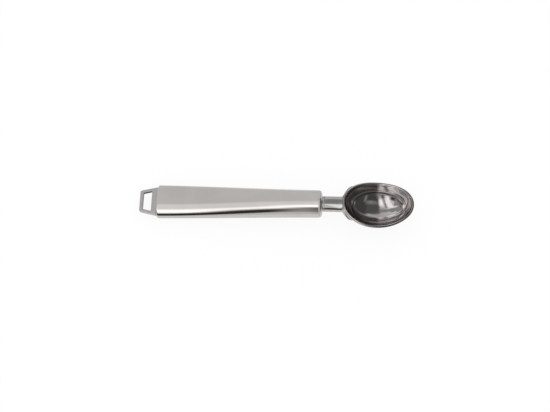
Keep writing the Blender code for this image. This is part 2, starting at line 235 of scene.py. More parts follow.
def install(thing: bpy.types.Object, node: str, material: bpy.types.Material) -> None:
    """Finish a piece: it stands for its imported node, rides on the one body and is dressed.

    Args:
        thing: The finished piece.
        node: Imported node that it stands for.
        material: Finish of the piece.
    """
    thing.data.materials.clear()
    thing.data.materials.append(material)
    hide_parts(node)
    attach(thing, "root")
    low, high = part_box(node)
    size = (np.array(high) - np.array(low)) * MILLIMETRES
    log.info(
        "%s stands for %s, %.1f x %.1f x %.1f mm, %d faces",
        thing.name, node, *size, len(thing.data.polygons),
    )


def write_mask(mesh: bpy.types.Mesh, name: str, values: Array) -> None:
    """Keep a number from 0 to 1 on every vertex of a mesh, for its finish to read."""
    mask = mesh.attributes.new(name, "FLOAT", "POINT")
    mask.data.foreach_set("value", values)


def rounded_outline(corners: Array, bend_steps: int) -> Array:
    """Closed outline whose corners are arcs.

    For a corner with unit directions b and a to its neighbours and a radius r, the arc's centre
    lies r / sin(h) along the bisector, where h is half the angle between b and a, and its ends
    lie r / tan(h) along b and a.

    Args:
        corners: Rows of x, y and radius; every radius is above 0.
        bend_steps: Straight pieces in each arc.

    Returns:
        The outline as rows of x and y.
    """
    place, radius = corners[:, :2], corners[:, 2]
    before = np.roll(place, 1, axis=0) - place
    after = np.roll(place, -1, axis=0) - place
    before /= np.linalg.norm(before, axis=1, keepdims=True)
    after /= np.linalg.norm(after, axis=1, keepdims=True)
    half = np.arccos(np.clip(np.sum(before * after, axis=1), -1.0, 1.0)) / 2
    bisector = before + after
    bisector /= np.linalg.norm(bisector, axis=1, keepdims=True)
    centre = place + bisector * (radius / np.sin(half))[:, None]
    start = place + before * (radius / np.tan(half))[:, None] - centre
    end = place + after * (radius / np.tan(half))[:, None] - centre
    sweep = np.arctan2(cross(start, end), np.sum(start * end, axis=1))
    turn = sweep[:, None] * steps(bend_steps)
    x = start[:, :1] * np.cos(turn) - start[:, 1:] * np.sin(turn)
    y = start[:, :1] * np.sin(turn) + start[:, 1:] * np.cos(turn)
    return (centre[:, None] + np.stack([x, y], axis=-1)).reshape(-1, 2)


def along_ray(outline: Array, centre: Array, angles: Array) -> Array:
    """Points where rays from a centre meet a closed outline that they each cross once.

    The side that holds a ray's angle is found, and the ray p = c + d t meets it where
    t = cross(q - c, s) / cross(d, s), with q and s the side's start and direction.

    Args:
        outline: Rows of x and y, counter-clockwise about the centre.
        centre: Where the rays start.
        angles: Angles of the rays, from -pi to pi.

    Returns:
        One point for each angle.
    """
    arm = outline - centre
    order = np.argsort(np.arctan2(arm[:, 1], arm[:, 0]))
    arm = arm[order]
    known = np.arctan2(arm[:, 1], arm[:, 0])
    side = np.searchsorted(known, angles, side="right") - 1
    first, second = arm[side % len(arm)], arm[(side + 1) % len(arm)]
    run = second - first
    ray = np.stack([np.cos(angles), np.sin(angles)], axis=-1)
    reach = cross(first, run) / cross(ray, run)
    return centre + ray * reach[:, None]


@dataclass(frozen=True)
class Mouth:
    """Open end of the tube, with the radius of its rolled edge.

    The tube lies after its place where the direction is 1, and before it where it is -1.
    """

    place: float
    direction: int
    lip: float

    def stations(self, rows: Array) -> Array:
        """Rows of distance from the mouth and depth, as rows of place and depth."""
        return np.stack([self.place + self.direction * rows[:, 0], rows[:, 1]], axis=-1)


@dataclass(frozen=True)
class HandleForm:
    """Outer form of the handle: wide and flattened at the butt, round at the front."""

    length: float = 0.1413
    wall: float = 0.0010
    butt_width: float = 0.0290
    butt_thickness: float = 0.0155
    butt_flat: float = 0.0080
    butt_edge: float = 0.0030
    butt_corner: float = 0.0025
    crown_angle: float = math.radians(3.5)
    front_diameter: float = 0.0235
    front_land: float = 0.0014
    front_corner_share: float = 0.9
    morph_start: float = 0.03
    morph_end: float = 0.93
    taper_ease: float = 0.6
    butt_lip: float = 0.0018
    front_lip: float = 0.0030
    corner_share: float = 0.8
    crown_steps: int = 5
    bend_steps: int = 50
    angle_slack: float = 1e-9

    @property
    def side_angle(self) -> float:
        """Angle of the section's normal where its crowned side begins."""
        return math.pi / 2 - self.crown_angle

    def corner(self, turn: Number) -> Number:
        """Radius of the corner arc, a share of the way from the flattened to the round section."""
        return mix(self.butt_corner, self.front_corner_share * self.front_diameter / 2, turn)

    def arcs(self, share: Array) -> Array:
        """Four arcs of a quarter of the section: crowned top, shoulder, corner, crowned side.

        They meet with a common tangent. With the width, the height and the corner's radius
        given, what is left across and down fixes the angle where the shoulder ends: its tangent
        of half the sum with the crown's angle is down / across.

        Args:
            share: Shares of the way from the butt to the front.

        Returns:
            Array of 4 arcs by end angle, y, z and radius by shares.
        """
        turn = ease(share, self.morph_start, self.morph_end)
        taper = mix(share, ease(share, 0.0, 1.0), self.taper_ease)
        half_width = mix(self.butt_width, self.front_diameter, taper) / 2
        half_height = mix(self.butt_thickness, self.front_diameter, turn) / 2
        sine, cosine = math.sin(self.crown_angle), math.cos(self.crown_angle)
        sag = math.tan(self.crown_angle / 2)
        flat = mix(self.butt_flat, self.front_land, turn) / 2
        edge = mix(self.butt_edge, self.front_land, turn) / 2
        corner = self.corner(turn)
        least = corner * (cosine - sine)
        top_end, side_end = half_height - flat * sag, half_width - edge * sag
        across = side_end - flat - least
        down = top_end - edge - least
        bend = 2 * np.arctan2(down, across) - self.crown_angle
        shoulder = corner + across / (np.sin(bend) - sine)
        none = np.zeros_like(share)
        return np.array([
            [none + self.crown_angle, none, half_height - flat / sine, flat / sine],
            [bend, flat - shoulder * sine, top_end - shoulder * cosine, shoulder],
            [none + self.side_angle, side_end - corner * cosine, edge - corner * sine, corner],
            [none + math.pi / 2, half_width - edge / sine, none, edge / sine],
        ])

    @property
    def butt(self) -> Mouth:
        """Flattened mouth, whose edge is held inside the corner of the section."""
        return Mouth(0.0, 1, min(self.butt_lip, self.corner_share * self.butt_corner))

    @property
    def front(self) -> Mouth:
        """Round mouth."""
        return Mouth(self.length, -1, self.front_lip)

    def rings(self, along: Array, inset: Array) -> Array:
        """Rings of the section at distances along the handle and depths inside its skin.

        A quarter runs by the angle of its normal from the middle of the top to the middle of
        the side: y = arc's y + (radius - inset) sin(angle), z = arc's z + (radius - inset)
        cos(angle), on the arc that holds the angle. It is mirrored into the other three.

        Args:
            along: Distances from the butt.
            inset: Depths inside the skin, one for each distance.

        Returns:
            Points as rings by points by 3, in the handle's own frame.
        """
        share = along / self.length
        arcs = self.arcs(share)[..., None]
        inset = inset[:, None]
        turn = ease(share, self.morph_start, self.morph_end)[:, None]
        parallel = np.minimum(inset, self.corner_share * self.corner(turn))
        angle = np.concatenate([
            mix(0.0, self.crown_angle, steps(self.crown_steps))[:-1],
            mix(self.crown_angle, self.side_angle, steps(self.bend_steps)),
            mix(self.side_angle, math.pi / 2, steps(self.crown_steps))[1:],
        ])[None]
        which = np.sum([angle > arc[0] + self.angle_slack for arc in arcs[:3]], axis=0)
        middle_y, middle_z, radius = (
            np.choose(which, [arc[part] * np.ones_like(which) for arc in arcs]) for part in (1, 2, 3)
        )
        half_width, half_height = arcs[3, 1] + arcs[3, 3], arcs[0, 2] + arcs[0, 3]
        y = middle_y + (radius - parallel) * np.sin(angle)
        z = middle_z + (radius - parallel) * np.cos(angle)
        y = y * (half_width - inset) / (half_width - parallel)
        z = z * (half_height - inset) / (half_height - parallel)
        y = np.concatenate([y, y[:, -2::-1], -y[:, 1:], -y[:, -2:0:-1]], axis=1)
        z = np.concatenate([z, -z[:, -2::-1], -z[:, 1:], z[:, -2:0:-1]], axis=1)
        return np.stack([along[:, None] * np.ones_like(y), y, z], axis=-1)


@dataclass(frozen=True)
class BowlForm:
    """Form of the bowl: an egg-shaped, nearly half-round pressing with a dipping rim."""

    length: float = 0.0611
    width: float = 0.04136
    depth: float = 0.0225
    wall: float = 0.0020
    egg: float = 0.05
    squareness: float = 2.08
    rim_dip: float = 0.0042
    dip_power: float = 4.0
    rim_lean: float = math.radians(10)
    around_steps: int = 288
    down_steps: int = 96
    pole_share: float = 0.7

    def half_width(self, share: Array, half_width: Number) -> Array:
        """Half-width of the outline at a share of its half-length, -1 at the neck.

        It is (1 - |share|^n)^(1/n), with n the squareness, narrowed towards the tip.

        Args:
            share: Shares of the half-length, from -1 to 1.
            half_width: Half-width at the middle.

        Returns:
            The half-widths.
        """
        oval = np.maximum(1 - np.abs(share) ** self.squareness, 0.0) ** (1 / self.squareness)
        return half_width * oval * (1 - self.egg * share)

    def turn_at(self, grow: float, depth: float) -> float:
        """Turn of the grown form at a depth below the ends of the rim.

        Args:
            grow: Distance outside the form, negative inside it.
            depth: Depth below the rim.

        Returns:
            The turn, from 0 at the rim to 1 at the pole.
        """
        lean = math.sin(self.rim_lean)
        angle = math.asin(lean + depth / (self.depth + grow) * (1 - lean))
        return (angle - self.rim_lean) / (math.pi / 2 - self.rim_lean)

    def rings(self, grow: float, turns: Array) -> Array:
        """Rings of the outer form grown by a distance.

        Each ring is the rim's outline times cos(angle) / cos(lean); its depth goes from that of
        the dipping rim, dip |sin(around)|^power, to the full depth as sin(angle) grows.

        Args:
            grow: Distance outside the form, negative inside it.
            turns: Turns from 0 at the rim to 1 at the pole.

        Returns:
            Points as rings by points by 3, with the rim's centre at the origin.
        """
        angle = mix(self.rim_lean, math.pi / 2, turns)[:, None]
        lean = self.rim_lean
        size = np.cos(angle) / math.cos(lean)
        down = (np.sin(angle) - math.sin(lean)) / (1 - math.sin(lean))
        around = circle(self.around_steps)[None]
        share = power(np.cos(around), 2 / self.squareness)
        across = np.sign(np.sin(around)) * self.half_width(share, self.width / 2 + grow)
        depth = mix(self.rim_dip * np.abs(np.sin(around)) ** self.dip_power, self.depth + grow, down)
        return np.stack([(self.length / 2 + grow) * share * size, across * size, -depth], axis=-1)

    def side(self, grow: float, depth: float) -> Array:
        """Rings of one side of the wall, from near the rim down to near its pole.

        Args:
            grow: Distance of the side outside the form, negative inside it.
            depth: Depth below the rim where it starts.

        Returns:
            Points as rings by points by 3, with the rim's centre at the origin.
        """
        turns = mix(self.turn_at(grow, depth), 1.0, steps(self.down_steps))
        turns[-1] = mix(turns[-2], 1.0, self.pole_share)
        return self.rings(grow, turns)


@dataclass(frozen=True)
class ShankForm:
    """Form of the shank: round tang, oval neck with a bend, and a yoke round the bowl."""

    bowl: BowlForm
    tang_diameter: float = 0.0080
    tang_length: float = 0.0550
    tang_chamfer: float = 0.0006
    tang_squareness: float = 2.0
    neck_width: float = 0.0124
    neck_thickness: float = 0.0100
    neck_foot: float = 0.0005
    neck_reach: float = 0.0168
    neck_squareness: float = 2.5
    neck_below_rim: float = 0.0014
    bend_start: float = 0.0020
    bend_end: float = 0.0155
    yoke_reach: float = 0.0086
    yoke_lead: float = 0.0043
    yoke_root_proud: float = 0.0009
    yoke_tip_proud: float = 0.0017
    yoke_blend: float = 0.0030
    yoke_feather: float = 0.0040
    yoke_tip_sliver: float = 0.0004
    yoke_tip_height: float = 0.0026
    yoke_tip_lift: float = 0.0002
    yoke_tip_round: float = 0.0012
    yoke_tip_narrowing: float = 0.25
    around_steps: int = 144
    foot_steps: int = 10
    neck_steps: int = 36
    yoke_steps: int = 96
    tip_steps: int = 8

    @property
    def axis_height(self) -> float:
        """Height of the level part of the axis above the table."""
        return self.bowl.depth - self.neck_below_rim - self.neck_thickness / 2

    def axis(self, along: Array, slope: float) -> tuple[Array, Array, Array]:
        """Axis of the shank: straight on the handle's slope, an arc, then level.

        Args:
            along: Distances from the front of the tube.
            slope: Slope of the handle.

        Returns:
            x and z of the axis from the tube's front, and its tilt.
        """
        radius = (self.bend_end - self.bend_start) / slope
        tilt = np.clip(slope - (along - self.bend_start) / radius, 0.0, slope)
        straight = np.minimum(along, self.bend_start)
        level = np.maximum(along - self.bend_end, 0.0)
        x = straight * math.cos(slope) + radius * (math.sin(slope) - np.sin(tilt)) + level
        z = straight * math.sin(slope) + radius * (np.cos(tilt) - math.cos(slope))
        return x, z, tilt

    def half_width(self, past_rim: Array) -> Array:
        """Half-width of the neck and yoke: the neck's own, blended into the rim's outline.

        The yoke stands further proud of the bowl towards its tips, and thins out to a sliver
        over their last stretch. The blend of a and b is (a + b + sqrt((a - b)^2 + blend^2)) / 2.

        Args:
            past_rim: Distances past the start of the rim.

        Returns:
            The half-widths.
        """
        share = np.clip(past_rim / (self.bowl.length / 2), 0.0, 1.0) - 1
        proud = mix(self.yoke_root_proud, self.yoke_tip_proud, ease(past_rim, 0.0, self.yoke_reach))
        feather = ease(past_rim, self.yoke_reach - self.yoke_feather, self.yoke_reach)
        proud = mix(proud, self.yoke_tip_sliver, feather)
        around_bowl = self.bowl.half_width(share, self.bowl.width / 2) + proud
        neck = self.neck_width / 2
        return (neck + around_bowl + np.hypot(neck - around_bowl, self.yoke_blend)) / 2

    @staticmethod
    def sections(*columns: Number) -> Array:
        """Rows of place, half-width, half-height, lift and squareness, from a column of each."""
        return np.stack(np.broadcast_arrays(*columns), axis=-1)

    def stations(self) -> Array:
        """Sections along the shank: tang, the neck's rounded foot, neck and yoke, the tips' ends.

        Returns:
            Rows of place, half-width, half-height, lift and squareness.
        """
        square = self.neck_squareness
        wide, tall = self.neck_width / 2, self.neck_thickness / 2
        place = np.array([-self.tang_length, self.tang_chamfer - self.tang_length, 0.0])
        radius = self.tang_diameter / 2 - self.tang_chamfer * np.array([1.0, 0.0, 0.0])
        tang = self.sections(place, radius, radius, 0.0, self.tang_squareness)

        turn = math.pi / 2 * steps(self.foot_steps)
        swell = self.neck_foot * (1 - np.sin(turn))
        place = self.neck_foot * (1 - np.cos(turn))
        foot = self.sections(place, wide + swell, tall + swell, 0.0, square)

        tip = self.neck_reach + self.yoke_reach
        yoke_start = self.neck_reach - self.yoke_lead
        body = np.concatenate([
            mix(self.neck_foot, yoke_start, steps(self.neck_steps)[1:-1]),
            mix(yoke_start, tip - self.yoke_tip_round, steps(self.yoke_steps)),
        ])
        fall = ease(body, self.neck_reach - self.yoke_lead / 2, tip)
        rise = mix(tall, self.yoke_tip_height / 2, fall)
        lift = tall - rise + self.yoke_tip_lift * fall
        across = self.half_width(body - self.neck_reach)
        yoke = self.sections(body, across, rise, lift, square)

        turn = math.pi / 2 * steps(self.tip_steps)[1:-1]
        place = tip - self.yoke_tip_round * (1 - np.sin(turn))
        inset = self.yoke_tip_round * (1 - np.cos(turn))
        across = self.half_width(place - self.neck_reach) - inset * self.yoke_tip_narrowing
        end = self.sections(place, across, rise[-1] - inset, lift[-1], square)
        return np.concatenate([tang, foot, yoke, end])

    def rings(self, slope: float) -> Array:
        """Superellipse rings, square to the axis, from the tang's end to the yoke's tips.

        A ring's point is half-width |cos|^(2/n) across and half-height |sin|^(2/n) up, with n
        its squareness.

        Args:
            slope: Slope of the handle.

        Returns:
            Points as rings by points by 3, with the tube's front centre at the origin.
        """
        place, across, upward, lift, square = (row[:, None] for row in self.stations().T)
        x, z, tilt = (row[:, None] for row in self.axis(place[:, 0], slope))
        around = circle(self.around_steps)[None]
        side = across * power(np.cos(around), 2 / square)
        up = upward * power(np.sin(around), 2 / square)
        return np.stack([x - up * np.sin(tilt), side, z + lift + up * np.cos(tilt)], axis=-1)


@dataclass(frozen=True)
class Layout:
    """Places of the pieces: the scoop lies on its bowl and on the butt of its handle.

    It also holds the loop's sizes that another piece needs.
    """

    handle: HandleForm
    shank: ShankForm
    loop_reach: float = 0.0153
    loop_thickness: float = 0.0030
    tail_width: float = 0.0150
    settle_rounds: int = 30

    @property
    def slope(self) -> float:
        """Slope of the handle, worked out again and again until it has settled."""
        slope = 0.0
        shank, handle = self.shank, self.handle
        for _ in range(self.settle_rounds):
            bend_rise = (shank.bend_end - shank.bend_start) * slope / 2
            rise = shank.axis_height - handle.butt_thickness / 2 * math.cos(slope) - bend_rise
            slope = math.asin(rise / (handle.length - handle.butt.lip + shank.bend_start))
        return slope

    def neck_end(self) -> tuple[float, float]:
        """x and z of the shank's axis at the rim, from the tube's front."""
        x, z, _ = self.shank.axis(np.array([self.shank.neck_reach]), self.slope)
        return float(x[0]), float(z[0])

    @property
    def front(self) -> Array:
        """Centre of the tube's front."""
        neck_x, neck_z = self.neck_end()
        run = math.cos(self.slope)
        length = (self.loop_reach + self.handle.length) * run + neck_x + self.shank.bowl.length
        x = (self.loop_reach + self.handle.length) * run - length / 2
        return np.array([x, 0.0, self.shank.axis_height - neck_z])

    @property
    def rim_centre(self) -> Array:
        """Centre of the bowl's rim."""
        x = self.front[0] + self.neck_end()[0] + self.shank.bowl.length / 2
        return np.array([x, 0.0, self.shank.bowl.depth])

    def on_handle(self, points: Array) -> Array:
        """Turn points by the handle's slope and move them to its butt.

        Args:
            points: Rows of points in the handle's own frame.

        Returns:
            The points in the shared frame.
        """
        sine, cosine = math.sin(self.slope), math.cos(self.slope)
        turn = np.array([[cosine, 0.0, sine], [0.0, 1.0, 0.0], [-sine, 0.0, cosine]])
        butt = self.front - self.handle.length * np.array([cosine, 0.0, sine])
        return points @ turn + butt

    def off_handle(self, points: Array) -> Array:
        """Undo on_handle.

        Args:
            points: Rows of points in the shared frame.

        Returns:
            The points in the handle's own frame.
        """
        origin = self.on_handle(np.zeros((1, 3)))
        axes = self.on_handle(np.eye(3)) - origin
        return (points - origin) @ axes.T


class Wire:
    """A value in a material: a socket whose Python operators add Math nodes."""

    def __init__(self, recipe: Recipe, socket: bpy.types.NodeSocket) -> None:
        """Keep the socket and the recipe whose nodes it belongs to."""
        self.recipe = recipe
        self.socket = socket

    def _math(self, operation: str, first: Value, second: Value) -> Wire:
        """Wire that carries a Math node's result."""
        return self.recipe.wire("ShaderNodeMath", {"operation": operation}, {0: first, 1: second})

    def __add__(self, other: Value) -> Wire:
        """Sum with another value."""
        return self._math("ADD", self, other)

    def __radd__(self, other: Value) -> Wire:
        """Sum with another value."""
        return self._math("ADD", other, self)

    def __sub__(self, other: Value) -> Wire:
        """This value less another."""
        return self._math("SUBTRACT", self, other)

    def __rsub__(self, other: Value) -> Wire:
        """Another value less this one."""
        return self._math("SUBTRACT", other, self)

    def __mul__(self, other: Value) -> Wire:
        """Product with another value."""
        return self._math("MULTIPLY", self, other)

    def __rmul__(self, other: Value) -> Wire:
        """Product with another value."""
        return self._math("MULTIPLY", other, self)

    def between(self, low: float, high: float) -> Wire:
        """Smooth step from 0 where this value is low to 1 where it is high."""
        return self.recipe.wire(
            "ShaderNodeMapRange",
            {"interpolation_type": "SMOOTHSTEP", "clamp": True},
            {"Value": self, "From Min": low, "From Max": high, "To Min": 0.0, "To Max": 1.0},
            "Result",
        )


class Recipe:
    """Node tree of one material, written node by node."""

    def __init__(self, name: str) -> None:
        """Start a material of this name with an empty tree."""
        self.material = bpy.data.materials.new(name)
        self.material.use_nodes = True
        self.tree = self.material.node_tree
        self.tree.nodes.clear()

    def node(self, kind: str, settings: Settings, sockets: Sockets) -> bpy.types.Node:
        """Add one node.

        Args:
            kind: Blender's name of the node's type.
            settings: Properties of the node, set before its sockets.
            sockets: Values or wires of its inputs, by name or number.

        Returns:
            The node.
        """
        node = self.tree.nodes.new(kind)
        for key, value in settings.items():
            setattr(node, key, value)
        for key, value in sockets.items():
            if isinstance(value, Wire):
                self.tree.links.new(value.socket, node.inputs[key])
            else:
                node.inputs[key].default_value = value
        return node

    def wire(self, kind: str, settings: Settings, sockets: Sockets, output: str | int = 0) -> Wire:
        """Wire from an output of a new node, its first unless another is named."""
        return Wire(self, self.node(kind, settings, sockets).outputs[output])

    def vector(self, operation: str, first: Wire, second: Point) -> Wire:
        """Vector that a Vector Math node makes of two others."""
        return self.wire("ShaderNodeVectorMath", {"operation": operation}, {0: first, 1: second})

    def mask(self, name: str) -> Wire:
        """Number from 0 to 1 that a mesh keeps on its vertices."""
        return self.wire("ShaderNodeAttribute", {"attribute_name": name}, {}, "Fac")

    def metres(self) -> Wire:
        """Object coordinates, in metres."""
        return self.wire("ShaderNodeTexCoord", {}, {}, "Object")

    def place(self, size: Point, turn: float = 0.0, lean: float = 0.0) -> Wire:
        """Object coordinates measured in a grain's own sizes.

        Args:
            size: Lengths of the grain along its three axes, in metres.
            turn: Turn of the grain about the vertical.
            lean: Slope of the grain along X.

        Returns:
            The coordinates.
        """
        rotation = (0.0, -lean, turn)
        turned = self.wire(
            "ShaderNodeMapping", {"vector_type": "TEXTURE"}, {"Vector": self.metres(), "Rotation": rotation},
        )
        return self.vector("DIVIDE", turned, size)

    def noise(self, place: Wire, detail: float = 2.0) -> Wire:
        """Smooth noise from 0 to 1, about one wave to a unit of its coordinates."""
        return self.wire("ShaderNodeTexNoise", {}, {"Vector": place, "Scale": 1.0, "Detail": detail}, "Fac")

    def blend(self, first: Colour, second: Colour, share: Wire) -> Wire:
        """Colour that lies the given share of the way from the first to the second."""
        sockets = {0: share, MIX_FIRST: (*first, 1.0), MIX_SECOND: (*second, 1.0)}
        return self.wire("ShaderNodeMix", {"data_type": "RGBA"}, sockets, MIX_RESULT)

    def bump(self, height: Wire, depth: float) -> Wire:
        """Normal of a surface raised by a height from 0 to 1, times a depth in metres."""
        sockets = {"Strength": 1.0, "Distance": depth, "Height": height}
        return self.wire("ShaderNodeBump", {}, sockets, "Normal")

    def finish(self, shader: Wire) -> bpy.types.Material:
        """Lead a shader to the material's surface and give the material back."""
        self.node("ShaderNodeOutputMaterial", {}, {"Surface": shader})
        return self.material


Value = Wire | float | Point | tuple[float, float, float, float]
Settings = dict[str, object]
Sockets = dict[str | int, Value]


@dataclass(frozen=True)
class Steel:
    """Stainless steel with clouds of haze, a grain and stray wipe marks.

    Lengths are metres. The metal has its colour where it is clean and goes to its deep colour
    in the clouds. The grain is noise drawn out along its first length; the marks are the crests
    of two such noises that cross.
    """

    name: str
    colour: Colour = (0.62, 0.605, 0.59)
    deep: Colour = (0.585, 0.57, 0.555)
    roughness: float = 0.08
    haze: float = 0.04
    cloud: float = 0.022
    cloud_detail: float = 3.0
    cloud_crest: tuple[float, float] = (0.3, 0.7)
    grain: Point = (0.030, 0.00035, 0.00035)
    grain_share: float = 0.03
    grain_depth: float = 4e-7
    mark: Point = (0.010, 0.00028, 0.00028)
    mark_detail: float = 1.0
    mark_crest: tuple[float, float] = (0.66, 0.74)
    mark_turns: tuple[float, float] = (0.35, -0.5)
    mark_share: float = 0.08
    mark_height: float = 0.5
    lean: float = 0.0

    def marks(self, recipe: Recipe) -> Wire:
        """Thin wipe marks in two directions.

        Args:
            recipe: Recipe that the nodes go into.

        Returns:
            1 on a mark and 0 beside it.
        """
        rows = []
        for turn in self.mark_turns:
            noise = recipe.noise(recipe.place(self.mark, turn, self.lean), self.mark_detail)
            rows.append(noise.between(*self.mark_crest))
        return rows[0] + rows[1]

    def texture(self, recipe: Recipe) -> Wire:
        """Grain of the finish, from 0 to 1."""
        return recipe.noise(recipe.place(self.grain, lean=self.lean))

    def tone(self, recipe: Recipe, cloud: Wire, grain: Wire) -> Wire:
        """Colour of the finish, from its clean to its hazy places."""
        return recipe.blend(self.colour, self.deep, cloud)

    def material(self) -> bpy.types.Material:
        """Mix the finish.

        Returns:
            The material.
        """
        recipe = Recipe(self.name)
        noise = recipe.noise(recipe.place((self.cloud,) * 3), self.cloud_detail)
        cloud = noise.between(*self.cloud_crest)
        grain = self.texture(recipe)
        marks = self.marks(recipe)
        roughness = self.roughness + self.haze * cloud + self.grain_share * (grain - MIDDLE)
        shader = recipe.wire("ShaderNodeBsdfPrincipled", {}, {
            "Base Color": self.tone(recipe, cloud, grain),
            "Metallic": 1.0,
            "Roughness": roughness + self.mark_share * marks,
            "Normal": recipe.bump(grain + self.mark_height * marks, self.grain_depth),
        })
        return recipe.finish(shader)


@dataclass(frozen=True)
class RingedSteelPaintedBands(Steel):
    """Steel polished in rings round an upright axis, as a pressing spun against a wheel is.

    On the hollow side's steep wall the base colour is painted in dark and light rings side by side, whose
    colours are the finish's two colours: painted reflection bands, while the real polishing rings are only
    the bump. The mesh tells its hollow side by an attribute, hollow.
    """

    centre: Point = (0.0, 0.0, 0.0)
    oval: Point = (0.00200, 0.00138, 1.0)
    # Reaches between which the painted reflection rings fade in on the hollow wall.
    wall: tuple[float, float] = (8.5, 11.0)
    painted_band_crest: tuple[float, float] = (0.42, 0.58)
    ring_detail: float = 3.0
    haze_tone: float = 0.08

    def reach(self, recipe: Recipe) -> Wire:
        """Distance from the axis: the length of (place - centre) / oval.

        Args:
            recipe: Recipe that the nodes go into.

        Returns:
            The distance, measured in the rings' own sizes.
        """
        arm = recipe.vector("SUBTRACT", recipe.metres(), self.centre)
        scaled = recipe.vector("DIVIDE", arm, self.oval)
        return recipe.wire("ShaderNodeVectorMath", {"operation": "LENGTH"}, {0: scaled}, "Value")

    def texture(self, recipe: Recipe) -> Wire:
        """Noise over the distance from the axis."""
        ring = recipe.wire("ShaderNodeCombineXYZ", {}, {"X": self.reach(recipe)})
        return recipe.noise(ring, self.ring_detail)

    def tone(self, recipe: Recipe, cloud: Wire, grain: Wire) -> Wire:
        """Even colour in the middle of the bowl and outside it, painted dark and light reflection rings on
        its wall.

        Args:
            recipe: Recipe that the nodes go into.
            cloud: Haze, which darkens the metal a little.
            grain: Noise whose crests are the painted light reflection rings.

        Returns:
            The colour.
        """
        wall = self.reach(recipe).between(*self.wall) * recipe.mask("hollow")
        # Painted reflection: on the wall the colour swings between the dark and light colours with the
        # noise; elsewhere it stays halfway.
        rings = MIDDLE + wall * (grain.between(*self.painted_band_crest) - MIDDLE) - self.haze_tone * cloud
        return recipe.blend(self.colour, self.deep, rings)


@dataclass(frozen=True)
class PunchedSteelShadedWall(Steel):
    """Steel plate with a punched window, whose cut wall is a little duller and carries painted shade.

    The wall's near-black colour is painted shade and dark reflection, not the metal's own colour. The mesh
    tells that wall by an attribute, painted_wall_shade.
    """

    # Painted shade: near-black colour of the window's wall. The cut metal is duller in truth, but this dark
    # is painted shade and dark reflection.
    wall: Colour = (0.03, 0.027, 0.027)

    def tone(self, recipe: Recipe, cloud: Wire, grain: Wire) -> Wire:
        """Colour of the plate and, on the window's wall, painted shade."""
        return recipe.blend(self.colour, self.wall, recipe.mask("painted_wall_shade"))


